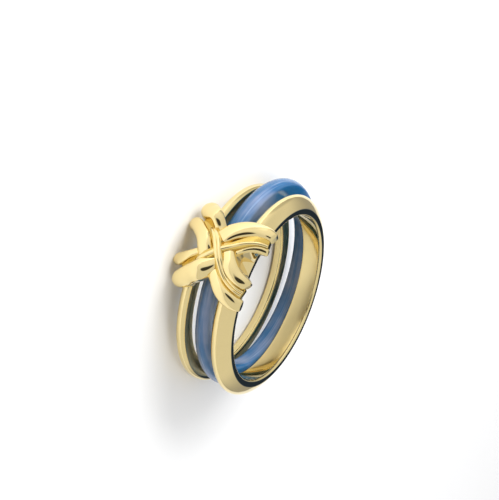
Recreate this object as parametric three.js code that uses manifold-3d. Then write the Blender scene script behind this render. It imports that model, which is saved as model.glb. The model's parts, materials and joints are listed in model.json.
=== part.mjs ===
// A finger ring lying on its side: a yellow gold frame of two hoops joined by a woven knot,
// and a loose closed band of pale blue stone that sits in the slot between the hoops.
//
// Millimetres, +Z up. The ring is drawn in its own frame first, with the finger axis along Z and
// the knot facing -Y. It is then tipped by a few degrees onto the three places it rests on, which
// are the tips of two knot arms and the far edge of the narrow hoop. The origin is the middle of
// the footprint of the resting ring.

import * as THREE from 'three';
import { ParametricGeometry } from 'three/addons/geometries/ParametricGeometry.js';
import { mergeVertices } from 'three/addons/utils/BufferGeometryUtils.js';
import Module from 'manifold-3d';

const wasm = await Module();
wasm.setup();

// Finger size: the bore that both hoops share.
const BORE_R = 8.65;
const BORE_ROUND = 0.25;

// Wide hoop: half-round wire. z is measured from its middle.
const WIDE_HALF = 1.12;
const WIDE_CREST_R = 10.5;
const WIDE_DOME = 1.2;

// Slot for the stone band, and the narrow hoop beyond it.
const SLOT = 2.41;
const NARROW_HALF = 0.49;
const NARROW_Z = -WIDE_HALF - SLOT - NARROW_HALF;
const NARROW_CREST_R = 10.42;
const NARROW_DOME = 0.27;

// Stone band: a D-shaped closed ring, lying loose and off the finger axis.
const BAND_HALF = 0.9;
const BAND_Z = -WIDE_HALF - SLOT / 2;
const BAND_CREST_R = 11.0;
const BAND_DOME = 0.45;
const BAND_BORE_R = 8.8;
const BAND_ROUND = 0.35;
const BAND_OFF_X = -1.1;
const BAND_OFF_Y = 1.3;

// Knot: ribs are laid out on a cylinder of this radius, z along the finger axis and u round it.
const LAYOUT_R = 12.2;
const CLEAR_R = 11.15;        // underside of the knot over the slot
const FOOT_R = 9.25;          // how deep the ribs run into the hoops
const OVERHANG_R = 11.2;      // underside of the arm tips beyond the hoops
const INSET = 0.05;           // the feet stand back this far from the hoops' side faces
const SLOPE = 0.28;           // run of the sloping sides of the feet over the slot
const FLARE = 0.9;            // run of the slope from the wide hoop out under the arm tips
const KNOT_REACH = 5;         // more than the arms overhang the hoops

// How each kind of strand rises and ends. Crown is the arch's height for each millimetre of half
// width, power is that of its outline |x|^power + |y|^power = 1, and start and end are the lengths
// of its rounded start and its blunter end.
const RIB_ARCH = { crown: 0.8, power: 2.4, start: 0.85, end: 0.24, steps: 8 };
const BED_ARCH = { crown: 0.2, power: 3, start: 0.4, end: 0.1, steps: 5 };
const WIRE_ARCH = { crown: 1, power: 2, start: 0.3, end: 0.12, steps: 5 };

// How finely curves are stepped, and how far apart points may be and still be joined.
const ARC_STEPS = 72;
const WIDE_DOME_STEPS = 8;
const NARROW_DOME_STEPS = 4;
const BAND_DOME_STEPS = 6;
const STRAND_STEPS = 26;
const EVEN_SHARE = 0.3;       // share of even spacing along a strand; the rest is closer at its ends
const LEVEL_ROUNDS = 8;
const JOIN_MM = 1e-4;

const GOLD = new THREE.MeshStandardMaterial({ color: 0xdcc27a, metalness: 1, roughness: 0.12 });
const STONE = new THREE.MeshStandardMaterial({ color: 0x6f93bd, metalness: 0, roughness: 0.15 });

// Rows of the knot's strands, one for each section: [z, u, half width, crest radius, lean]. Lean is
// how much the section rises for each millimetre across it, towards +u on a strand that heads
// along +z. Each band of the knot has an upper and a lower rib, which pass over and under the
// other band's.
const RIBS = {
  rising_upper: [
    [-5.81, -2.45, 0.73, 11.52, -0.06], [-4.8, -1.83, 0.61, 11.91, -0.09],
    [-4.1, -1.34, 0.45, 12.18, -0.14], [-3.4, -0.81, 0.42, 12.15, -0.15],
    [-2.4, 0.14, 0.54, 12.25, -0.15], [-1.5, 1.32, 0.94, 12.64, -0.12],
    [-0.7, 2.07, 0.9, 12.72, 0.02], [0.3, 2.68, 0.84, 12.63, 0.16],
    [1.65, 3.09, 0.71, 12.42, 0.12], [2.4, 3.1, 0.62, 12.22, 0.02], [2.88, 2.96, 0.52, 12, -0.03],
  ],
  rising_lower: [
    [-5.34, -4.31, 0.65, 11.64, 0.18], [-4.35, -3.91, 0.88, 12.06, 0.29],
    [-3.4, -3.16, 0.88, 12.54, 0.29], [-2.5, -2.52, 0.9, 12.93, 0.24],
    [-1.7, -1.63, 0.91, 12.73, 0.11], [-0.9, -0.54, 0.64, 12.3, 0.01],
    [-0.2, 0.07, 0.48, 12.1, 0.09], [0.7, 0.76, 0.35, 12.15, 0.16], [1.5, 1.32, 0.4, 12.03, 0.26],
    [2.4, 1.52, 0.4, 11.74, 0.3], [2.9, 1.58, 0.34, 11.5, 0.28],
  ],
  falling_upper: [
    [-5.06, 4.53, 0.77, 12.05, 0.22], [-4.2, 3.51, 0.95, 12.32, 0.09],
    [-3.3, 3.09, 0.69, 12.7, -0.06], [-2.45, 2.17, 0.6, 12.12, -0.11],
    [-1.7, 1.23, 0.66, 11.97, -0.1], [-1, 0.72, 0.75, 12.39, -0.11],
    [-0.3, -0.12, 0.71, 12.7, -0.13], [0.4, -1.06, 0.72, 12.8, -0.15],
    [1.2, -1.75, 0.7, 12.6, -0.14], [2.1, -2.18, 0.6, 12.22, -0.14],
    [2.5, -2.46, 0.48, 11.92, -0.1],
  ],
  falling_lower: [
    [-5.93, 1.95, 0.69, 11.63, 0.12], [-4.9, 1.76, 0.7, 12.09, 0.12],
    [-4.1, 1.24, 0.67, 12.49, 0.12], [-3.5, 0.77, 0.69, 12.72, 0.14],
    [-2.9, 0.05, 0.79, 12.8, 0.18], [-2.3, -0.93, 0.92, 12.42, 0.14],
    [-1.6, -1.68, 0.76, 12.28, 0.07], [-0.7, -2.6, 0.61, 12.43, 0.08],
    [0.2, -3.52, 0.71, 12.52, 0.1], [1.2, -4.09, 0.78, 12.3, 0.09], [2, -4.31, 0.68, 11.95, 0],
    [2.45, -4.34, 0.54, 11.68, -0.08],
  ],
};

// Low beds that close the grooves between the ribs of a band.
const BEDS = {
  rising: [
    [-4.75, -2.75, 0.5, 11.2, 0], [-4.24, -2.4, 0.62, 11.38, 0], [-3.45, -1.8, 0.55, 11.8, 0],
    [-2.52, -1.15, 0.46, 12.44, 0], [-1.65, -0.52, 0.36, 12.78, 0],
    [-1.02, -0.08, 0.32, 12.84, 0], [-0.23, 0.52, 0.38, 12.64, 0], [0.58, 1.28, 0.5, 12.34, 0],
    [1.52, 1.98, 0.56, 12.16, 0.06], [2.35, 2.2, 0.52, 11.92, 0.06],
    [2.74, 2.26, 0.5, 11.76, 0.06],
  ],
  falling: [
    [-4.4, 2.7, 0.5, 11.55, 0], [-3.7, 2.25, 0.6, 11.7, 0], [-2.9, 1.68, 0.54, 12.08, 0],
    [-2.3, 1.14, 0.48, 12.5, 0], [-1.6, 0.43, 0.42, 12.84, 0], [-1.03, -0.39, 0.4, 12.97, 0],
    [-0.52, -1.12, 0.42, 12.82, 0], [-0.07, -1.85, 0.5, 12.45, 0], [0.65, -2.58, 0.62, 12.14, 0],
    [1.6, -3.02, 0.62, 11.92, 0], [2.28, -3.24, 0.55, 11.66, 0],
  ],
};

// Fine wires that lie on the beds.
const WIRES = {
  rising: [
    [-3.45, -1.8, 0.1, 11.75, 0], [-3.05, -1.52, 0.16, 12.3, 0], [-2.52, -1.2, 0.2, 12.7, 0],
    [-1.65, -0.55, 0.22, 12.95, 0], [-1.02, -0.08, 0.22, 13, 0], [-0.23, 0.5, 0.2, 12.8, 0],
    [0.58, 1.18, 0.18, 12.5, 0], [1.52, 1.68, 0.18, 12.3, 0], [2.4, 1.95, 0.18, 12, 0],
    [2.76, 2, 0.18, 11.84, 0],
  ],
  falling_first: [
    [-3.3, 1.88, 0.1, 11.9, 0], [-2.95, 1.6, 0.16, 12.3, 0], [-2.45, 1.15, 0.19, 12.65, 0],
    [-1.75, 0.38, 0.2, 13, 0], [-1.16, -0.44, 0.22, 13.15, 0], [-0.65, -1.16, 0.2, 13, 0],
    [-0.18, -1.9, 0.19, 12.6, 0], [0.53, -2.65, 0.18, 12.3, 0], [1.5, -3.14, 0.18, 12.1, 0],
    [2.2, -3.36, 0.18, 11.82, 0],
  ],
  falling_second: [
    [-3.05, 2.05, 0.1, 11.9, 0], [-2.7, 1.72, 0.16, 12.3, 0], [-2.2, 1.24, 0.18, 12.65, 0],
    [-1.44, 0.48, 0.2, 13, 0], [-0.9, -0.34, 0.2, 13.1, 0], [-0.39, -1.07, 0.2, 12.95, 0],
    [0.04, -1.77, 0.19, 12.55, 0], [0.76, -2.42, 0.18, 12.25, 0], [1.65, -2.88, 0.18, 12.02, 0],
    [2.3, -3.02, 0.18, 11.8, 0],
  ],
};

// Solids from three.js geometries, and back.

function solidOf(geometry) {
  geometry.deleteAttribute('normal');
  geometry.deleteAttribute('uv');
  const merged = mergeVertices(geometry, JOIN_MM);
  const vertProperties = new Float32Array(merged.attributes.position.array);
  const kept = [];
  const index = merged.index.array;
  for (let i = 0; i < index.length; i += 3) {
    const [a, b, c] = [index[i], index[i + 1], index[i + 2]];
    if (a !== b && b !== c && c !== a) kept.push(a, b, c);
  }
  if (volumeOf(vertProperties, kept) < 0) kept.reverse();
  return new wasm.Manifold(new wasm.Mesh({ numProp: 3, vertProperties, triVerts: new Uint32Array(kept) }));
}

function volumeOf(points, index) {
  const [a, b, c] = [new THREE.Vector3(), new THREE.Vector3(), new THREE.Vector3()];
  let sixfold = 0;
  for (let i = 0; i < index.length; i += 3) {
    a.fromArray(points, 3 * index[i]);
    b.fromArray(points, 3 * index[i + 1]);
    c.fromArray(points, 3 * index[i + 2]);
    sixfold += a.dot(b.cross(c));
  }
  return sixfold / 6;
}

function geometryOf(solid) {
  const mesh = solid.getMesh();
  const geometry = new THREE.BufferGeometry();
  geometry.setAttribute('position', new THREE.BufferAttribute(new Float32Array(mesh.vertProperties), 3));
  geometry.setIndex(new THREE.BufferAttribute(new Uint32Array(mesh.triVerts), 1));
  return geometry;
}

// A closed ring about Z from its section: a flat-sided D with a domed outside, and a bore whose
// corners are quarter rounds in two chords.
const ROUND_MIDDLE = 1 - Math.SQRT1_2;

function domedHoop({ middle, half, crest, dome, bore, round }, domeSteps) {
  const section = [];
  for (let i = 0; i <= domeSteps; i++) {
    const k = -1 + (2 * i) / domeSteps;
    section.push(new THREE.Vector2(crest - dome * k * k, middle + k * half));
  }
  for (const side of [1, -1]) {
    const corner = [[0, 1], [ROUND_MIDDLE, ROUND_MIDDLE], [1, 0]].map(([inward, along]) => new THREE.Vector2(
      bore + round * along, middle + side * (half - round * inward)));
    section.push(...(side === 1 ? corner : corner.reverse()));
  }
  section.push(section[0].clone());
  return new THREE.LatheGeometry(section, ARC_STEPS).rotateX(Math.PI / 2);
}

// The hollow that is cut out under the knot, turned about Z: deep in the hoops, clear over the slot,
// and sloping out under the arm tips.
function hollow() {
  const slotTop = -WIDE_HALF;
  const slotLow = slotTop - SLOT;
  const outerLow = slotLow - 2 * NARROW_HALF;
  const outline = [
    [0, outerLow - KNOT_REACH], [OVERHANG_R, outerLow - KNOT_REACH], [OVERHANG_R, outerLow - 2 * SLOPE],
    [FOOT_R, outerLow + INSET], [FOOT_R, slotLow - INSET], [CLEAR_R, slotLow + SLOPE],
    [CLEAR_R, slotTop - SLOPE], [FOOT_R, slotTop + INSET], [FOOT_R, WIDE_HALF - INSET],
    [OVERHANG_R, WIDE_HALF + FLARE], [OVERHANG_R, WIDE_HALF + KNOT_REACH], [0, WIDE_HALF + KNOT_REACH],
  ];
  const points = outline.map(([r, z]) => new THREE.Vector2(r, z));
  return solidOf(new THREE.LatheGeometry(points, 2 * ARC_STEPS).rotateX(Math.PI / 2));
}

// The section of a strand, once round: an arch from one shoulder to the other, then its two feet.
// Each entry is [across, rise], and a rise of null is a foot.
function archSection({ power, steps }) {
  const section = [];
  for (let i = 0; i <= steps; i++) {
    const turn = (Math.PI * i) / steps;
    const across = Math.sign(Math.cos(turn)) * Math.abs(Math.cos(turn)) ** (2 / power);
    section.push([across, Math.abs(Math.sin(turn)) ** (2 / power)]);
  }
  section.push([-1, null], [1, null], section[0]);
  return section;
}

// A strand of the knot: that section carried along smooth curves through the rows. Its start is
// drawn in along a quarter circle and its end along a squarer curve. A place (z, u, r) of the
// layout is wrapped round the finger axis.
function strand(rows, arch) {
  const line = new THREE.CatmullRomCurve3(rows.map(([z, u]) => new THREE.Vector3(z, u, 0)));
  const sizes = rows.map(([, , half, crest, lean]) => new THREE.Vector3(half, crest, lean));
  const size = new THREE.CatmullRomCurve3(sizes);
  const length = line.getLength();
  const section = archSection(arch);
  const sides = section.length - 1;
  const surface = (around, along, target) => {
    const swing = (1 - Math.cos(Math.PI * along)) / 2;
    const t = Math.min(1, EVEN_SHARE * along + (1 - EVEN_SHARE) * swing);
    const place = line.getPoint(t);
    const tangent = line.getTangent(t);
    const { x: half, y: crest, z: lean } = size.getPoint(t);
    const fromStart = Math.max(0, 1 - (t * length) / arch.start);
    const fromEnd = Math.max(0, 1 - ((1 - t) * length) / arch.end);
    const drawn = Math.sqrt(1 - fromStart ** 2) * (1 - fromEnd ** 4) ** 0.25;
    const [across, rise] = section[Math.round(around * sides)];
    const aside = across * half * drawn;
    const shoulder = crest + lean * aside - arch.crown * half;
    const r = rise === null ? FOOT_R - INSET : shoulder + arch.crown * half * drawn * rise;
    const angle = (place.y + aside * tangent.x) / LAYOUT_R;
    target.set(-r * Math.sin(angle), -r * Math.cos(angle), place.x - aside * tangent.y);
  };
  return solidOf(new ParametricGeometry(surface, sides, STRAND_STEPS));
}

function wideHoop() {
  return solidOf(domedHoop({
    middle: 0, half: WIDE_HALF, crest: WIDE_CREST_R, dome: WIDE_DOME, bore: BORE_R, round: BORE_ROUND,
  }, WIDE_DOME_STEPS));
}

function narrowHoop() {
  return solidOf(domedHoop({
    middle: NARROW_Z, half: NARROW_HALF, crest: NARROW_CREST_R, dome: NARROW_DOME,
    bore: BORE_R, round: BORE_ROUND,
  }, NARROW_DOME_STEPS));
}

// The woven knot, hollow underneath so that the stone band passes under it and its arms overhang
// the hoops.
function knot() {
  const strands = [[RIBS, RIB_ARCH], [BEDS, BED_ARCH], [WIRES, WIRE_ARCH]].flatMap(
    ([group, arch]) => Object.values(group).map((rows) => strand(rows, arch)));
  return strands.reduce((joined, next) => joined.add(next)).subtract(hollow());
}

// The soldered frame is one solid.
function goldFrame() {
  return new THREE.Mesh(geometryOf(wideHoop().add(narrowHoop()).add(knot())), GOLD);
}

function stoneBand() {
  const geometry = domedHoop({
    middle: BAND_Z, half: BAND_HALF, crest: BAND_CREST_R, dome: BAND_DOME,
    bore: BAND_BORE_R, round: BAND_ROUND,
  }, BAND_DOME_STEPS);
  geometry.translate(BAND_OFF_X, BAND_OFF_Y, 0);
  return new THREE.Mesh(geometryOf(solidOf(geometry)), STONE);
}

// Tips the ring about X until the lowest place on the knot's side and the lowest place on the far
// side are level, which is how it lies on a table.
function restingTilt(mesh) {
  const points = mesh.geometry.attributes.position;
  const place = new THREE.Vector3();
  let tilt = 0;
  for (let round = 0; round < LEVEL_ROUNDS; round++) {
    const turn = new THREE.Matrix4().makeRotationX(tilt);
    const low = { near: new THREE.Vector3(0, 0, Infinity), far: new THREE.Vector3(0, 0, Infinity) };
    for (let i = 0; i < points.count; i++) {
      place.fromBufferAttribute(points, i).applyMatrix4(turn);
      const side = place.y < 0 ? 'near' : 'far';
      if (place.z < low[side].z) low[side].copy(place);
    }
    tilt += Math.atan2(low.near.z - low.far.z, low.far.y - low.near.y);
  }
  return tilt;
}

const frame = goldFrame();
frame.name = 'gold_frame';
const band = stoneBand();
band.name = 'stone_band';

const resting = new THREE.Group();
resting.add(frame, band);
resting.rotation.x = restingTilt(frame);

const ring = new THREE.Group();
ring.add(resting);
ring.updateMatrixWorld(true);
const box = new THREE.Box3().setFromObject(ring, true);
const middle = box.getCenter(new THREE.Vector3());
resting.position.set(-middle.x, -middle.y, -box.min.z);

export default ring;
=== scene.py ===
"""Looks of a knot ring: two gold hoops joined by a woven knot, and a loose pale blue stone band.

The ring is drawn in millimetres in its own frame, with the finger axis along Z and the knot
facing -Y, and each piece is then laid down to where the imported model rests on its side.
"""

import json

import bpy
import numpy as np
from bpy.props import FloatProperty, FloatVectorProperty, IntProperty, PointerProperty
from mathutils import Matrix, Vector


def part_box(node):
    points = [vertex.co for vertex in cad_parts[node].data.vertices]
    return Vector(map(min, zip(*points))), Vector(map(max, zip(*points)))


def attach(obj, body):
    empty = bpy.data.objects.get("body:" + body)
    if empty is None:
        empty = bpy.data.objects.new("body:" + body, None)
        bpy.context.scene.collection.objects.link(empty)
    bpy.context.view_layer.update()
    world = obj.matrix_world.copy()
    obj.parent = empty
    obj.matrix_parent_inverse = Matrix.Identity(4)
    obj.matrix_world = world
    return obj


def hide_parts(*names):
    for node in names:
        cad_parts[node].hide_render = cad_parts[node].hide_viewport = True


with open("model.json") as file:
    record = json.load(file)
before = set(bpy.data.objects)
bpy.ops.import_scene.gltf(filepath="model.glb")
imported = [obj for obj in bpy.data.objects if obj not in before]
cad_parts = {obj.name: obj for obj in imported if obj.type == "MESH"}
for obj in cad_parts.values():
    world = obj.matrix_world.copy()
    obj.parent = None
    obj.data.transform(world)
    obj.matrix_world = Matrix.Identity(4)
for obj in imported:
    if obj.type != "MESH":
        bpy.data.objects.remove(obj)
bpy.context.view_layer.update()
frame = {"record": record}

bl_info = {
    "name": "Knot ring with stone band",
    "version": (1, 0, 0),
    "blender": (4, 5, 0),
    "location": "3D View > Sidebar > Ring",
    "description": "Builds a woven-knot gold ring with a loose stone band, and a plain studio",
    "category": "Object",
}

MM = 0.001
WHITE = (1.0, 1.0, 1.0, 1.0)

# Where each rib of the knot runs. z goes along the finger axis and u round it, in millimetres, on
# a cylinder of the layout radius. Columns: z, u, half width, crest radius, and lean, which is how
# much the rib rises for each millimetre across it, towards +u on a rib that heads along +z.
RISING_UPPER = [
    (-5.81, -2.45, 0.73, 11.52, -0.06), (-4.80, -1.83, 0.61, 11.91, -0.09),
    (-4.10, -1.34, 0.45, 12.18, -0.14), (-3.40, -0.81, 0.42, 12.15, -0.15),
    (-2.40, 0.14, 0.54, 12.25, -0.15), (-1.50, 1.32, 0.94, 12.64, -0.12),
    (-0.70, 2.07, 0.90, 12.72, 0.02), (0.30, 2.68, 0.84, 12.63, 0.16),
    (1.65, 3.09, 0.71, 12.42, 0.12), (2.40, 3.10, 0.62, 12.22, 0.02),
    (2.88, 2.96, 0.52, 12.00, -0.03),
]
RISING_LOWER = [
    (-5.34, -4.31, 0.65, 11.64, 0.18), (-4.35, -3.91, 0.88, 12.06, 0.29),
    (-3.40, -3.16, 0.88, 12.54, 0.29), (-2.50, -2.52, 0.90, 12.93, 0.24),
    (-1.70, -1.63, 0.91, 12.73, 0.11), (-0.90, -0.54, 0.64, 12.30, 0.01),
    (-0.20, 0.07, 0.48, 12.10, 0.09), (0.70, 0.76, 0.35, 12.15, 0.16),
    (1.50, 1.32, 0.40, 12.03, 0.26), (2.40, 1.52, 0.40, 11.74, 0.30),
    (2.90, 1.58, 0.34, 11.50, 0.28),
]
FALLING_UPPER = [
    (-5.06, 4.53, 0.77, 12.05, 0.22), (-4.20, 3.51, 0.95, 12.32, 0.09),
    (-3.30, 3.09, 0.69, 12.70, -0.06), (-2.45, 2.17, 0.60, 12.12, -0.11),
    (-1.70, 1.23, 0.66, 11.97, -0.10), (-1.00, 0.72, 0.75, 12.39, -0.11),
    (-0.30, -0.12, 0.71, 12.70, -0.13), (0.40, -1.06, 0.72, 12.80, -0.15),
    (1.20, -1.75, 0.70, 12.60, -0.14), (2.10, -2.18, 0.60, 12.22, -0.14),
    (2.50, -2.46, 0.48, 11.92, -0.10),
]
FALLING_LOWER = [
    (-5.93, 1.95, 0.69, 11.63, 0.12), (-4.90, 1.76, 0.70, 12.09, 0.12),
    (-4.10, 1.24, 0.67, 12.49, 0.12), (-3.50, 0.77, 0.69, 12.72, 0.14),
    (-2.90, 0.05, 0.79, 12.80, 0.18), (-2.30, -0.93, 0.92, 12.42, 0.14),
    (-1.60, -1.68, 0.76, 12.28, 0.07), (-0.70, -2.60, 0.61, 12.43, 0.08),
    (0.20, -3.52, 0.71, 12.52, 0.10), (1.20, -4.09, 0.78, 12.30, 0.09),
    (2.00, -4.31, 0.68, 11.95, 0.00), (2.45, -4.34, 0.54, 11.68, -0.08),
]
RIBS = {
    "knot_rising_upper": RISING_UPPER,
    "knot_rising_lower": RISING_LOWER,
    "knot_falling_upper": FALLING_UPPER,
    "knot_falling_lower": FALLING_LOWER,
}

# The low beds that close the grooves between the ribs and carry the wires, in the same columns.
RISING_BED = [
    (-4.75, -2.75, 0.50, 11.20, 0), (-4.24, -2.40, 0.62, 11.38, 0),
    (-3.45, -1.80, 0.55, 11.80, 0), (-2.52, -1.15, 0.46, 12.44, 0),
    (-1.65, -0.52, 0.36, 12.78, 0), (-1.02, -0.08, 0.32, 12.84, 0),
    (-0.23, 0.52, 0.38, 12.64, 0), (0.58, 1.28, 0.50, 12.34, 0),
    (1.52, 1.98, 0.56, 12.16, 0.06), (2.35, 2.20, 0.52, 11.92, 0.06),
    (2.74, 2.26, 0.50, 11.76, 0.06),
]
FALLING_BED = [
    (-4.40, 2.70, 0.50, 11.55, 0), (-3.70, 2.25, 0.60, 11.70, 0),
    (-2.90, 1.68, 0.54, 12.08, 0), (-2.30, 1.14, 0.48, 12.50, 0),
    (-1.60, 0.43, 0.42, 12.84, 0), (-1.03, -0.39, 0.40, 12.97, 0),
    (-0.52, -1.12, 0.42, 12.82, 0), (-0.07, -1.85, 0.50, 12.45, 0),
    (0.65, -2.58, 0.62, 12.14, 0), (1.60, -3.02, 0.62, 11.92, 0),
    (2.28, -3.24, 0.55, 11.66, 0),
]
BEDS = {"knot_rising_bed": RISING_BED, "knot_falling_bed": FALLING_BED}

# The fine wires between the ribs, in the same columns.
RISING_WIRE = [
    (-3.45, -1.80, 0.10, 11.75, 0), (-3.05, -1.52, 0.16, 12.30, 0),
    (-2.52, -1.20, 0.20, 12.70, 0), (-1.65, -0.55, 0.22, 12.95, 0),
    (-1.02, -0.08, 0.22, 13.00, 0), (-0.23, 0.50, 0.20, 12.80, 0),
    (0.58, 1.18, 0.18, 12.50, 0), (1.52, 1.68, 0.18, 12.30, 0),
    (2.40, 1.95, 0.18, 12.00, 0), (2.76, 2.00, 0.18, 11.84, 0),
]
FALLING_WIRE_A = [
    (-3.30, 1.88, 0.10, 11.90, 0), (-2.95, 1.60, 0.16, 12.30, 0),
    (-2.45, 1.15, 0.19, 12.65, 0), (-1.75, 0.38, 0.20, 13.00, 0),
    (-1.16, -0.44, 0.22, 13.15, 0), (-0.65, -1.16, 0.20, 13.00, 0),
    (-0.18, -1.90, 0.19, 12.60, 0), (0.53, -2.65, 0.18, 12.30, 0),
    (1.50, -3.14, 0.18, 12.10, 0), (2.20, -3.36, 0.18, 11.82, 0),
]
FALLING_WIRE_B = [
    (-3.05, 2.05, 0.10, 11.90, 0), (-2.70, 1.72, 0.16, 12.30, 0),
    (-2.20, 1.24, 0.18, 12.65, 0), (-1.44, 0.48, 0.20, 13.00, 0),
    (-0.90, -0.34, 0.20, 13.10, 0), (-0.39, -1.07, 0.20, 12.95, 0),
    (0.04, -1.77, 0.19, 12.55, 0), (0.76, -2.42, 0.18, 12.25, 0),
    (1.65, -2.88, 0.18, 12.02, 0), (2.30, -3.02, 0.18, 11.80, 0),
]
WIRES = {
    "knot_rising_wire": RISING_WIRE,
    "knot_falling_wire_a": FALLING_WIRE_A,
    "knot_falling_wire_b": FALLING_WIRE_B,
}

# How each kind of strand rises and ends. Crown is the arch's height for each millimetre of half
# width, power is that of its outline, start and end are the lengths of its rounded start and its
# blunter end in millimetres, and around is how many points go round it.
RIB_ARCH = {"crown": 0.8, "power": 2.4, "start": 0.85, "end": 0.24, "around": 56}
BED_ARCH = {"crown": 0.2, "power": 3.0, "start": 0.4, "end": 0.1, "around": 56}
WIRE_ARCH = {"crown": 1.0, "power": 2.0, "start": 0.3, "end": 0.12, "around": 40}
STRAND_STEPS = 120
CAP_STEPS = 16
FOOT_POWER = 0.3       # how boxy a strand's foot is: 1 would be round, 0 square
END_SETBACK = 0.05     # each end of a strand stays this far back, in millimetres
LEAST_DRAWN = 0.02     # share of the width and height that is left at the very end

# The knot's underside, in millimetres along the finger: how far its feet stand back from the
# hoops' side faces, the run of their sloping sides over the slot, and that of the slope from the
# wide hoop out under the arm tips.
FOOT_INSET = 0.05
FOOT_SLOPE = 0.28
ARM_FLARE = 0.9

# How the sections of the hoops and the band are drawn: power of the dome, radius of the bore's
# corners and easing of every corner in millimetres, and how many points go round.
WIDE_DRAWN = {"power": 2.0, "bore_round": 0.25, "ease": 0.05, "count": 128}
NARROW_DRAWN = {"power": 2.4, "bore_round": 0.25, "ease": 0.04, "count": 96}
BAND_DRAWN = {"power": 2.2, "bore_round": 0.35, "ease": 0.12, "count": 128}
DOME_STEPS = 81
CORNER_STEPS = 12
TURN_STEPS = 360

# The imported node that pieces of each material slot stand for, and the body that they ride on.
CARRIED_BY = {"gold": ("gold_frame", "frame"), "stone": ("stone_band", "band")}

# Where the surroundings are brighter or darker, in fixed directions told from the first camera:
# degrees away from it, degrees from the picture's right towards its up, the two angles between
# which the place fades out, and the strength that it adds or the share that it takes away.
BRIGHTER = ((75, 105, 5, 85, 0.3), (75, 108, 24, 32, 0.28), (75, 118, 8, 20, 0.5))
DARKER = ((5, 240, 13, 18, 0.94), (105, 58, 12, 26, 0.35), (180, 0, 40, 75, 0.5))

# What the hoops' side faces mirror: the angles between which it fades, its share and its tint.
DUSK_INNER, DUSK_OUTER = 12, 24
DUSK_SHARE = 0.9
DUSK_TINT = (0.45, 0.75, 1.6, 1.0)

# The soft panels: name, place and aim in metres, and size.
LAMPS = (
    ("key", (-0.22, -0.04, 0.14), (0, 0, 0), 0.18),
    ("top", (0.05, 0.05, 0.4), (0, 0, 0), 0.4),
    ("low", (-0.09, -0.09, 0.07), (-0.03, -0.04, 0), 0.05),
)

# The photograph's camera, from a fit to both hoops' outlines. In the ring's own frame, the rows
# are the picture's right, down and forward directions. WIDE_MIDDLE is how far the middle of the
# wide hoop stands from the camera in each of them, in millimetres.
PICTURE_AXES = np.array([
    [-0.4138, 0.3016, 0.859],
    [0.8879, 0.342, 0.3076],
    [-0.201, 0.89, -0.4093],
])
WIDE_MIDDLE = np.array([2.07, 4.52, 119.76])


class RingSizes(bpy.types.PropertyGroup):
    """Sizes of the gold hoops and the knot."""

    bore: FloatProperty(
        name="Bore radius", description="Inside radius of both hoops, mm", default=8.65)
    wide_half: FloatProperty(
        name="Wide hoop half width", description="Along the finger, mm", default=1.12)
    wide_crest: FloatProperty(
        name="Wide hoop crest", description="Outer radius at its middle, mm", default=10.5)
    wide_dome: FloatProperty(
        name="Wide hoop dome", description="Drop from crest to edge, mm", default=1.2)
    narrow_half: FloatProperty(
        name="Narrow hoop half width", description="Along the finger, mm", default=0.49)
    narrow_crest: FloatProperty(
        name="Narrow hoop crest", description="Outer radius at its middle, mm", default=10.42)
    narrow_dome: FloatProperty(
        name="Narrow hoop dome", description="Drop from crest to edge, mm", default=0.27)
    slot: FloatProperty(
        name="Slot", description="Gap between the hoops, mm", default=2.41)
    layout: FloatProperty(
        name="Layout radius", description="Cylinder that the knot is laid out on, mm", default=12.2)
    knot_clear: FloatProperty(
        name="Knot underside", description="Radius under the knot over the slot, mm", default=11.15)
    knot_foot: FloatProperty(
        name="Knot foot", description="Radius that the feet reach in the hoops, mm", default=9.25)
    knot_overhang: FloatProperty(
        name="Arm underside", description="Radius under the overhanging arms, mm", default=11.2)


class BandSizes(bpy.types.PropertyGroup):
    """Sizes of the stone band."""

    half: FloatProperty(
        name="Half width", description="Along the finger, mm", default=0.9)
    crest: FloatProperty(
        name="Crest radius", description="Outer radius at its middle, mm", default=11.0)
    dome: FloatProperty(
        name="Dome", description="Drop from crest to edge, mm", default=0.45)
    bore: FloatProperty(
        name="Bore radius", description="Inside radius, mm", default=8.8)
    off: FloatVectorProperty(
        name="Offset", description="Its centre, off the finger axis, mm",
        size=2, default=(-1.1, 1.3))


class Finishes(bpy.types.PropertyGroup):
    """Colours and polish of the gold and the stone, with a painted shade colour for the knot's
    grooves.
    """

    gold: FloatVectorProperty(
        name="Gold", description="Colour of the polished gold",
        subtype="COLOR", size=3, min=0, max=1, default=(0.88, 0.715, 0.35))
    # Painted shade: the grooves' deeper, darker yellow stands in for the shade in them and the
    # light bounced between the ribs.
    painted_groove_shade: FloatVectorProperty(
        name="Grooves", description="Colour of the gold in the knot's grooves",
        subtype="COLOR", size=3, min=0, max=1, default=(0.66, 0.46, 0.12))
    gold_rough: FloatProperty(
        name="Gold roughness", description="Roughness of the polish",
        subtype="FACTOR", min=0, max=1, default=0.05)
    stone_deep: FloatVectorProperty(
        name="Stone, deep", description="Darker bands of the stone",
        subtype="COLOR", size=3, min=0, max=1, default=(0.015, 0.108, 0.26))
    stone_pale: FloatVectorProperty(
        name="Stone, pale", description="Paler bands of the stone",
        subtype="COLOR", size=3, min=0, max=1, default=(0.24, 0.285, 0.42))
    stone_line: FloatVectorProperty(
        name="Stone, lines", description="Fine pale lines of the stone",
        subtype="COLOR", size=3, min=0, max=1, default=(0.34, 0.46, 0.66))


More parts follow.
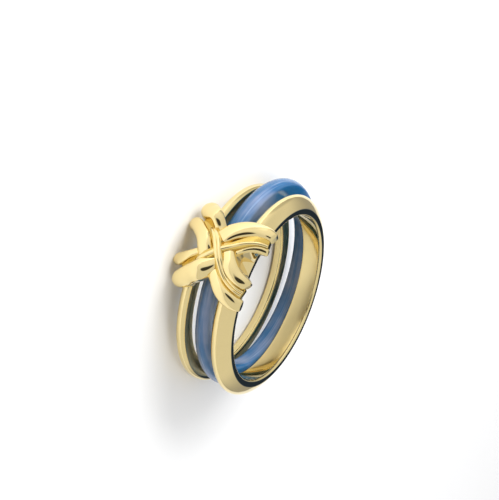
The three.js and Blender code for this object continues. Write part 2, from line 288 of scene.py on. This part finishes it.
class Studio(bpy.types.PropertyGroup):
    """The floor, the light and the camera."""

    lens: FloatProperty(
        name="Lens", description="Focal length of the camera", unit="CAMERA", default=86.6)
    floor_radius: FloatProperty(
        name="Floor radius", description="Radius of the round floor", unit="LENGTH", default=0.8)
    floor_segments: IntProperty(
        name="Floor segments", description="Sides of the round floor", default=96)
    surroundings: FloatProperty(
        name="Surroundings", description="Brightness of the plain surroundings", default=0.8)
    key: FloatProperty(
        name="Key light", description="Soft panel at the left", unit="POWER", default=0.42)
    top: FloatProperty(
        name="Top light", description="Large soft panel overhead", unit="POWER", default=0.35)
    low: FloatProperty(
        name="Low light", description="Small soft panel near the floor", unit="POWER", default=0.1)


# Shapes: numpy surfaces.


def chord_run(rows):
    """How far each row is along the way, counted in chords of the first two columns."""
    return np.concatenate([[0.0], np.cumsum(np.hypot(*np.diff(rows[:, :2], axis=0).T))])


def natural_spline(rows, at):
    """The rows of values at the given runs: the natural cubic spline through them.

    Second derivatives come from the usual tridiagonal system, and each span is the cubic that has
    them at both ends.
    """
    knots = chord_run(rows)
    gap = np.diff(knots)
    count = len(rows)
    system = np.eye(count)
    right = np.zeros_like(rows)
    inner = np.arange(1, count - 1)
    system[inner, inner - 1] = gap[:-1]
    system[inner, inner] = 2 * (gap[:-1] + gap[1:])
    system[inner, inner + 1] = gap[1:]
    slope = np.diff(rows, axis=0) / gap[:, None]
    right[1:-1] = 6 * np.diff(slope, axis=0)
    bend = np.linalg.solve(system, right)
    span = np.clip(np.searchsorted(knots, at, side="right") - 1, 0, count - 2)
    a = ((knots[span + 1] - at) / gap[span])[:, None]
    b = 1 - a
    straight = a * rows[span] + b * rows[span + 1]
    curved = (a**3 - a) * bend[span] + (b**3 - b) * bend[span + 1]
    return straight + curved * gap[span][:, None] ** 2 / 6


def eased_loop(corners, count, ease):
    """A closed outline through the corners, at even steps, its corners eased.

    Each point is averaged with its neighbours along the outline, weighted by a bell curve whose
    width is ease, so a corner becomes a round of about that radius.
    """
    closed = np.vstack([corners, corners[:1]])
    run = chord_run(closed)
    at = np.linspace(0, run[-1], count, endpoint=False)
    even = np.stack([np.interp(at, run, closed[:, k]) for k in (0, 1)], 1)
    step = run[-1] / count
    reach = np.minimum(np.arange(count), count - np.arange(count)) * step
    weight = np.exp(-0.5 * (reach / ease) ** 2)
    weight /= weight.sum()
    blur = np.fft.fft(weight)[:, None]
    return np.real(np.fft.ifft(np.fft.fft(even, axis=0) * blur, axis=0))


def hoop_section(middle, half, crest, dome, bore, power, bore_round, ease, count):
    """Section of a hoop in (radius, z): a dome between two flat sides, and a bore.

    The dome is crest - dome * |k|**power, where k runs from -1 to 1 across the width, and the
    bore's corners are quarter rounds.
    """
    k = np.linspace(-1, 1, DOME_STEPS)
    outer = np.stack([crest - dome * np.abs(k) ** power, middle + half * k], 1)
    turn = np.linspace(0, np.pi / 2, CORNER_STEPS)
    top = np.stack([bore + bore_round * (1 - np.sin(turn)),
                    middle + half - bore_round * (1 - np.cos(turn))], 1)
    bottom = np.stack([top[::-1, 0], 2 * middle - top[::-1, 1]], 1)
    return eased_loop(np.vstack([outer, top, bottom]), count, ease)


def turned(section, centre=(0.0, 0.0)):
    """The section in (radius, z) turned once round the finger axis, or round one beside it."""
    angle = np.linspace(0, 2 * np.pi, TURN_STEPS, endpoint=False)[:, None]
    r, z = section[:, 0][None], section[:, 1][None]
    x = centre[0] - r * np.sin(angle)
    y = centre[1] - r * np.cos(angle)
    return np.stack([x, y, np.broadcast_to(z, x.shape)], -1)


def wrapped(z, u, r, layout):
    """Places of the knot's layout, wrapped round the finger axis: u / layout is the angle."""
    angle = u / layout
    return np.stack([-r * np.sin(angle), -r * np.cos(angle), z], -1)


def underside(z, sizes):
    """Radius under the knot: clear over the slot, deep in the hoops, sloping out to the tips."""
    slot_top = -sizes.wide_half
    slot_low = slot_top - sizes.slot
    outer_low = slot_low - 2 * sizes.narrow_half
    clear, foot, overhang = sizes.knot_clear, sizes.knot_foot, sizes.knot_overhang
    steps = [
        (outer_low - 2 * FOOT_SLOPE, overhang), (outer_low + FOOT_INSET, foot),
        (slot_low - FOOT_INSET, foot), (slot_low + FOOT_SLOPE, clear),
        (slot_top - FOOT_SLOPE, clear), (slot_top + FOOT_INSET, foot),
        (sizes.wide_half - FOOT_INSET, foot), (sizes.wide_half + ARM_FLARE, overhang),
    ]
    return np.interp(z, *zip(*steps))


def strand_surface(rows, sizes, crown, power, start, end, around):
    """A rib, bed or wire of the knot: an arch over a boxy foot, along a spline through the rows.

    The arch is the upper half of |x|**power + |y|**power = 1, half wide and crown times half high,
    and lean tips it sideways. The foot runs from its sides down to the radius of what is under
    the strand. Both ends are drawn in: the first along a quarter of an ellipse, the last along a
    squarer one of power 4.
    """
    rows = np.asarray(rows, float)
    cap = np.linspace(0, np.pi / 2, CAP_STEPS)
    length = chord_run(rows)[-1] - 2 * END_SETBACK
    body = np.linspace(start, length - end, STRAND_STEPS)[1:-1]
    first = start * (1 - np.cos(cap))
    last = length - end * (1 - np.cos(cap[::-1]) ** 0.5)
    run = END_SETBACK + np.concatenate([first, body, last])
    drawn = np.concatenate([np.sin(cap), np.ones(len(body)), np.sin(cap[::-1]) ** 0.5])
    drawn = np.maximum(drawn, LEAST_DRAWN)[:, None]
    curve = natural_spline(rows, run)
    heading = np.gradient(curve[:, :2], run, axis=0)
    heading /= np.linalg.norm(heading, axis=1, keepdims=True)
    turn = np.linspace(0, 2 * np.pi, around, endpoint=False)[None]
    cos, sin = np.cos(turn), np.sin(turn)
    half, crest, lean = curve[:, 2:3], curve[:, 3:4], curve[:, 4:5]
    across = np.sign(cos) * np.abs(cos) ** np.where(sin >= 0, 2 / power, FOOT_POWER)
    aside = across * half * drawn
    z = curve[:, 0:1] - aside * heading[:, 1:2]
    u = curve[:, 1:2] + aside * heading[:, 0:1]
    shoulder = crest + lean * aside - crown * half
    arch = shoulder + crown * half * np.clip(sin, 0, 1) ** (2 / power) * drawn
    depth = np.abs(np.clip(sin, -1, 0)) ** FOOT_POWER
    foot = shoulder + (underside(z, sizes) - shoulder) * depth
    return wrapped(z, u, np.where(sin >= 0, arch, foot), sizes.layout)


# Meshes and their places.


def laid_down(points):
    """Millimetres in the ring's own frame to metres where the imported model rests.

    The tilt is that of the slide joint's axis, and the place is that of the stone band's box.
    """
    band = bpy.context.scene.ring_band
    sizes = bpy.context.scene.ring_sizes
    axis = frame["record"]["behaviour"]["joints"][0]["axis"]
    tilt = np.arctan2(axis[2], axis[1])
    cos, sin = np.cos(tilt), np.sin(tilt)
    turn = np.array([[1, 0, 0], [0, cos, -sin], [0, sin, cos]])
    low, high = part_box("stone_band")
    centre = np.array([band.off[0], band.off[1], -sizes.wide_half - sizes.slot / 2]) * MM
    place = (np.array(low) + np.array(high)) / 2 - turn @ centre
    return (points * MM) @ turn.T + place


def grid_quads(rows, cols, wrap):
    """Corner numbers of the quads of a grid whose columns close, and whose rows close if wrap."""
    i = np.arange(rows if wrap else rows - 1)[:, None]
    j = np.arange(cols)[None]
    a = i * cols + j
    b = i * cols + (j + 1) % cols
    c = ((i + 1) % rows) * cols + (j + 1) % cols
    d = ((i + 1) % rows) * cols + j
    return np.stack([a, b, c, d], -1).reshape(-1, 4)


def end_fans(rows, cols):
    """Corner numbers of two fans that close a grid's first and last row.

    Their middles are the two points that follow the grid's own.
    """
    here = np.arange(cols)
    after = (here + 1) % cols
    last = (rows - 1) * cols
    first_middle = np.full(cols, rows * cols)
    first_fan = np.stack([first_middle, after, here], 1)
    last_fan = np.stack([first_middle + 1, last + here, last + after], 1)
    return np.concatenate([first_fan, last_fan])


def make_piece(name, grid, wrap, slot, material):
    """One closed mesh from a grid of points. Its rows close if wrap, or else end in fans.

    The faces are turned over if the volume inside them, a sum of the corners' triple products, is
    negative, so that they point outwards.
    """
    rows, cols = grid.shape[:2]
    points = grid.reshape(-1, 3)
    quads = grid_quads(rows, cols, wrap)
    fans = np.zeros((0, 3), int)
    if not wrap:
        points = np.vstack([points, grid[0].mean(0), grid[-1].mean(0)])
        fans = end_fans(rows, cols)
    points = laid_down(points)
    first, second, third, fourth = points[quads].transpose(1, 0, 2)
    volume = np.einsum("ij,ij->", first, np.cross(second, third) + np.cross(third, fourth))
    if volume < 0:
        quads = quads[:, ::-1]
        fans = fans[:, ::-1]
    mesh = bpy.data.meshes.new(name)
    mesh.vertices.add(len(points))
    mesh.vertices.foreach_set("co", points.ravel())
    loops = np.concatenate([quads.ravel(), fans.ravel()])
    mesh.loops.add(len(loops))
    mesh.loops.foreach_set("vertex_index", loops)
    starts = np.concatenate([np.arange(0, quads.size, 4), np.arange(quads.size, len(loops), 3)])
    mesh.polygons.add(len(starts))
    mesh.polygons.foreach_set("loop_start", starts)
    mesh.polygons.foreach_set("use_smooth", np.ones(len(starts), bool))
    mesh.update(calc_edges=True)
    if mesh.validate():
        raise RuntimeError(name + " has broken faces")
    mesh.materials.append(material)
    piece = bpy.data.objects.new(name, mesh)
    bpy.context.scene.collection.objects.link(piece)
    replaced, body = CARRIED_BY[slot]
    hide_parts(replaced)
    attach(piece, body)


# Materials.


class Value:
    """A node's output that can be used in sums: each operator adds one Math node."""

    def __init__(self, graph, socket):
        self.graph = graph
        self.socket = socket

    def _math(self, operation, first, second):
        return self.graph.node("ShaderNodeMath", {"operation": operation}, {0: first, 1: second})

    def __add__(self, other):
        return self._math("ADD", self, other)

    def __radd__(self, other):
        return self._math("ADD", other, self)

    def __sub__(self, other):
        return self._math("SUBTRACT", self, other)

    def __rsub__(self, other):
        return self._math("SUBTRACT", other, self)

    def __mul__(self, other):
        return self._math("MULTIPLY", self, other)

    def __rmul__(self, other):
        return self._math("MULTIPLY", other, self)


class Graph:
    """The node tree of a material or of the world."""

    def __init__(self, owner):
        owner.use_nodes = True
        self.tree = owner.node_tree
        self.tree.nodes.clear()

    def node(self, kind, settings=None, inputs=None, output=0):
        """Adds a node. Settings come first, then values or links of its sockets."""
        node = self.tree.nodes.new(kind)
        for key, value in (settings or {}).items():
            setattr(node, key, value)
        for key, value in (inputs or {}).items():
            if isinstance(value, Value):
                self.tree.links.new(value.socket, node.inputs[key])
            else:
                node.inputs[key].default_value = value
        return Value(self, node.outputs[output]) if node.outputs else None

    def place(self):
        """Object coordinates, in metres."""
        return self.node("ShaderNodeTexCoord", output="Object")

    def noise(self, place, size, detail, stretch=(1, 1, 1)):
        """Smooth noise whose features are about size metres across, from 0 to 1."""
        scaled = self.node("ShaderNodeMapping", {}, {"Vector": place, "Scale": stretch})
        inputs = {"Vector": scaled, "Scale": 1 / size, "Detail": detail}
        return self.node("ShaderNodeTexNoise", {}, inputs)

    def ramp(self, value, low, high):
        """A smooth step from 0 at low to 1 at high."""
        return self.node("ShaderNodeMapRange", {"interpolation_type": "SMOOTHSTEP"},
                         {0: value, 1: low, 2: high, 3: 0.0, 4: 1.0})

    def blend(self, factor, first, second):
        """One colour to another."""
        return self.node("ShaderNodeMix", {"data_type": "RGBA"}, {0: factor, 6: first, 7: second},
                         output=2)


def opaque(colour):
    """The colour with full alpha, as a colour socket takes it."""
    return (*colour, 1.0)


def gold_material(name, depth=0.0):
    """Mirror-polished yellow gold: warm, with faint polishing haze and a slight hand-made wave.

    Depth goes from 0 for bright work to 1 for grooves, which the polish reaches less, so they are
    rougher. It also turns the colour towards a deeper, darker yellow, which is painted shade: it
    stands in for the shade in the grooves and the light bounced between the ribs.
    """
    if name in bpy.data.materials:
        return bpy.data.materials[name]
    hazy_shade, haze_rough, groove_rough, fine_share = 0.94, 0.05, 0.1, 0.04
    finish = bpy.context.scene.ring_finishes
    material = bpy.data.materials.new(name)
    graph = Graph(material)
    place = graph.place()
    haze = graph.noise(place, 1.2 * MM, detail=4)
    fine = graph.noise(place, 0.12 * MM, detail=2)
    wave = graph.noise(place, 2.2 * MM, detail=1)
    # Painted shade: the more depth, the deeper and darker the yellow, as shade and light bounced in
    # the grooves would make it.
    base = np.array(finish.gold) * (1 - depth) + np.array(finish.painted_groove_shade) * depth
    bump = graph.node("ShaderNodeBump", {}, {
        "Strength": 0.05,
        "Distance": 0.2 * MM,
        "Height": wave + fine * fine_share,
    })
    even_rough = finish.gold_rough - haze_rough / 2 + groove_rough * depth
    surface = graph.node("ShaderNodeBsdfPrincipled", {}, {
        "Base Color": graph.blend(haze, opaque(base), opaque(base * hazy_shade)),
        "Metallic": 1.0,
        "Roughness": haze * haze_rough + even_rough,
        "Normal": bump,
    })
    graph.node("ShaderNodeOutputMaterial", {}, {"Surface": surface})
    return material


def stone_material():
    """Polished banded chalcedony: steel blue, clouded with lavender grey, with fine paler lines.

    The cloud and the lines are noise drawn out along the ring, so they follow its layers.
    """
    cloud_share, line_share, polish, scratch_rough = 0.55, 0.35, 0.08, 0.1
    finish = bpy.context.scene.ring_finishes
    material = bpy.data.materials.new("pale_blue_stone")
    graph = Graph(material)
    place = graph.place()
    cloud = graph.noise(place, 7 * MM, detail=3)
    layers = graph.noise(place, 3 * MM, detail=4, stretch=(0.25, 0.25, 4.0))
    lines = graph.noise(place, 1.2 * MM, detail=2, stretch=(0.12, 0.12, 5.0))
    scratches = graph.noise(place, 0.4 * MM, detail=3, stretch=(1.0, 1.0, 6.0))
    pale = graph.ramp(layers * cloud_share + cloud * cloud_share, 0.5, 0.76)
    tint = graph.blend(pale, opaque(finish.stone_deep), opaque(finish.stone_pale))
    tint = graph.blend(graph.ramp(lines, 0.6, 0.72) * line_share, tint, opaque(finish.stone_line))
    bump = graph.node("ShaderNodeBump", {}, {
        "Strength": 0.03,
        "Distance": 0.1 * MM,
        "Height": scratches,
    })
    surface = graph.node("ShaderNodeBsdfPrincipled", {}, {
        "Base Color": tint,
        "Roughness": polish + graph.ramp(scratches, 0.35, 0.75) * scratch_rough,
        "IOR": 1.54,
        "Subsurface Weight": 0.3,
        "Subsurface Radius": (0.5, 0.8, 1.0),
        "Subsurface Scale": 0.8 * MM,
        "Normal": bump,
    })
    graph.node("ShaderNodeOutputMaterial", {}, {"Surface": surface})
    return material


def floor_material():
    """Plain matt white."""
    material = bpy.data.materials.new("pale_floor")
    graph = Graph(material)
    surface = graph.node("ShaderNodeBsdfPrincipled", {}, {
        "Base Color": (0.9, 0.9, 0.9, 1.0),
        "Roughness": 0.7,
    })
    graph.node("ShaderNodeOutputMaterial", {}, {"Surface": surface})
    return material


# The stage.


def make_floor(context):
    """A round pale floor."""
    studio = context.scene.ring_studio
    turn = np.linspace(0, 2 * np.pi, studio.floor_segments, endpoint=False)
    ring = studio.floor_radius * np.stack([np.cos(turn), np.sin(turn), 0 * turn], 1)
    mesh = bpy.data.meshes.new("floor")
    mesh.from_pydata(ring.tolist(), [], [list(range(studio.floor_segments))])
    mesh.materials.append(floor_material())
    floor = bpy.data.objects.new("floor", mesh)
    context.scene.collection.objects.link(floor)


def camera_place():
    """The camera's location in metres and its turn as a matrix, in the resting ring's frame."""
    at = laid_down((-WIDE_MIDDLE @ PICTURE_AXES)[None])[0]
    ends = laid_down(np.vstack([PICTURE_AXES, np.zeros(3)])) / MM
    right, down, forward = ends[:3] - ends[3]
    return at, np.stack([right, -down, -forward], 1)


def make_world(context):
    """Soft bright surroundings for what the ring mirrors, and plain white for what is behind it.

    Each brighter or darker place is a smooth step on the cosine of the angle to its direction. The
    place of the camera is a small dark disc.
    """
    world = bpy.data.worlds.new("studio")
    context.scene.world = world
    graph = Graph(world)
    direction = graph.node("ShaderNodeTexCoord", output="Generated")
    camera_axes = camera_place()[1].T

    def towards(aim, inner, outer):
        """1 within the inner angle of a direction, and 0 beyond the outer one."""
        facing = graph.node("ShaderNodeVectorMath", {"operation": "DOT_PRODUCT"},
                            {0: direction, 1: tuple(aim)}, output="Value")
        return graph.ramp(facing, np.cos(np.radians(outer)), np.cos(np.radians(inner)))

    def seen_at(angle, turn):
        """A direction so far from the camera's, turned from the picture's right towards its up."""
        angle, turn = np.radians([angle, turn])
        out = np.sin(angle)
        return np.array([out * np.cos(turn), out * np.sin(turn), np.cos(angle)]) @ camera_axes

    strength = context.scene.ring_studio.surroundings
    for angle, turn, inner, outer, added in BRIGHTER:
        strength = strength + added * towards(seen_at(angle, turn), inner, outer)
    for angle, turn, inner, outer, share in DARKER:
        strength = strength * (1 - share * towards(seen_at(angle, turn), inner, outer))
    top, bottom = laid_down(np.array([[0, 0, 1], [0, 0, 0]])) / MM
    side_face = top - bottom
    camera = camera_axes[2]
    dusk = towards(2 * (side_face @ camera) * side_face - camera, DUSK_INNER, DUSK_OUTER)
    mirrored = graph.node("ShaderNodeBackground", {}, {
        "Color": graph.blend(dusk, WHITE, DUSK_TINT),
        "Strength": strength * (1 - DUSK_SHARE * dusk),
    })
    behind = graph.node("ShaderNodeBackground", {}, {"Color": WHITE, "Strength": 1.0})
    camera_ray = graph.node("ShaderNodeLightPath", output="Is Camera Ray")
    both = graph.node("ShaderNodeMixShader", {}, {0: camera_ray, 1: mirrored, 2: behind})
    graph.node("ShaderNodeOutputWorld", {}, {"Surface": both})


def make_lamps(context):
    """Soft panels. They light the floor and the stone, and the gold mirrors what they light."""
    for name, place, aim, size in LAMPS:
        data = bpy.data.lights.new(name, "AREA")
        data.size = size
        data.energy = getattr(context.scene.ring_studio, name)
        lamp = bpy.data.objects.new(name, data)
        context.scene.collection.objects.link(lamp)
        lamp.location = place
        lamp.visible_glossy = False
        heading = Vector(aim) - Vector(place)
        lamp.rotation_euler = heading.to_track_quat("-Z", "Y").to_euler()


def make_camera(context):
    """Stands where the photograph was taken from."""
    at, turn = camera_place()
    data = bpy.data.cameras.new("camera")
    data.sensor_fit = "HORIZONTAL"
    data.lens = context.scene.ring_studio.lens
    data.clip_start = MM
    camera = bpy.data.objects.new("camera", data)
    context.scene.collection.objects.link(camera)
    camera.matrix_world = Matrix.Translation(at) @ Matrix(turn.tolist()).to_4x4()
    context.scene.camera = camera


# Operators: one for each group of pieces, and one for the stage.


class RING_OT_hoops(bpy.types.Operator):
    """Builds the wide and the narrow gold hoop"""

    bl_idname = "ring.hoops"
    bl_label = "Gold hoops"

    def execute(self, context):
        s = context.scene.ring_sizes
        gold = gold_material("polished_gold")
        wide = hoop_section(0, s.wide_half, s.wide_crest, s.wide_dome, s.bore, **WIDE_DRAWN)
        middle = -s.wide_half - s.slot - s.narrow_half
        narrow = hoop_section(middle, s.narrow_half, s.narrow_crest, s.narrow_dome, s.bore,
                              **NARROW_DRAWN)
        make_piece("wide_hoop", turned(wide), True, "gold", gold)
        make_piece("narrow_hoop", turned(narrow), True, "gold", gold)
        return {"FINISHED"}


class RING_OT_knot(bpy.types.Operator):
    """Builds the woven knot: four ribs, and the beds and fine wires in its grooves"""

    bl_idname = "ring.knot"
    bl_label = "Woven knot"

    def execute(self, context):
        gold = gold_material("polished_gold")
        # The beds in the grooves take the rougher gold whose colour carries the painted shade.
        groove_shaded = gold_material("grooved_gold", depth=1.0)
        for strands, arch, material in (
            (RIBS, RIB_ARCH, gold),
            (BEDS, BED_ARCH, groove_shaded),
            (WIRES, WIRE_ARCH, gold),
        ):
            for name, rows in strands.items():
                strand = strand_surface(rows, context.scene.ring_sizes, **arch)
                make_piece(name, strand, False, "gold", material)
        return {"FINISHED"}


class RING_OT_stone_band(bpy.types.Operator):
    """Builds the loose band of pale blue stone"""

    bl_idname = "ring.stone_band"
    bl_label = "Stone band"

    def execute(self, context):
        s = context.scene.ring_sizes
        b = context.scene.ring_band
        middle = -s.wide_half - s.slot / 2
        section = hoop_section(middle, b.half, b.crest, b.dome, b.bore, **BAND_DRAWN)
        make_piece("stone_band_polished", turned(section, b.off), True, "stone", stone_material())
        return {"FINISHED"}


class RING_OT_studio(bpy.types.Operator):
    """Builds the floor, the soft light and the camera"""

    bl_idname = "ring.studio"
    bl_label = "Studio"

    def execute(self, context):
        make_floor(context)
        make_world(context)
        make_lamps(context)
        make_camera(context)
        context.scene.view_settings.view_transform = "Standard"
        return {"FINISHED"}


class RING_PT_panel(bpy.types.Panel):
    """Lists the ring's pieces and its studio"""

    bl_label = "Knot ring"
    bl_space_type = "VIEW_3D"
    bl_region_type = "UI"
    bl_category = "Ring"

    def draw(self, context):
        for step in STEPS:
            self.layout.operator(step.bl_idname)


STEPS = (RING_OT_hoops, RING_OT_knot, RING_OT_stone_band, RING_OT_studio)
GROUPS = {
    "ring_sizes": RingSizes,
    "ring_band": BandSizes,
    "ring_finishes": Finishes,
    "ring_studio": Studio,
}
CLASSES = (*GROUPS.values(), *STEPS, RING_PT_panel)


def register():
    """Adds the classes, and one group of each kind of setting to the scene."""
    for item in CLASSES:
        bpy.utils.register_class(item)
    for name, group in GROUPS.items():
        setattr(bpy.types.Scene, name, PointerProperty(type=group))


def unregister():
    """Takes away what register added."""
    for name in GROUPS:
        delattr(bpy.types.Scene, name)
    for item in reversed(CLASSES):
        bpy.utils.unregister_class(item)


def main():
    """Builds every piece and the stage."""
    register()
    for step in STEPS:
        group, call = step.bl_idname.split(".")
        getattr(getattr(bpy.ops, group), call)()


if __name__ == "__main__":
    main()
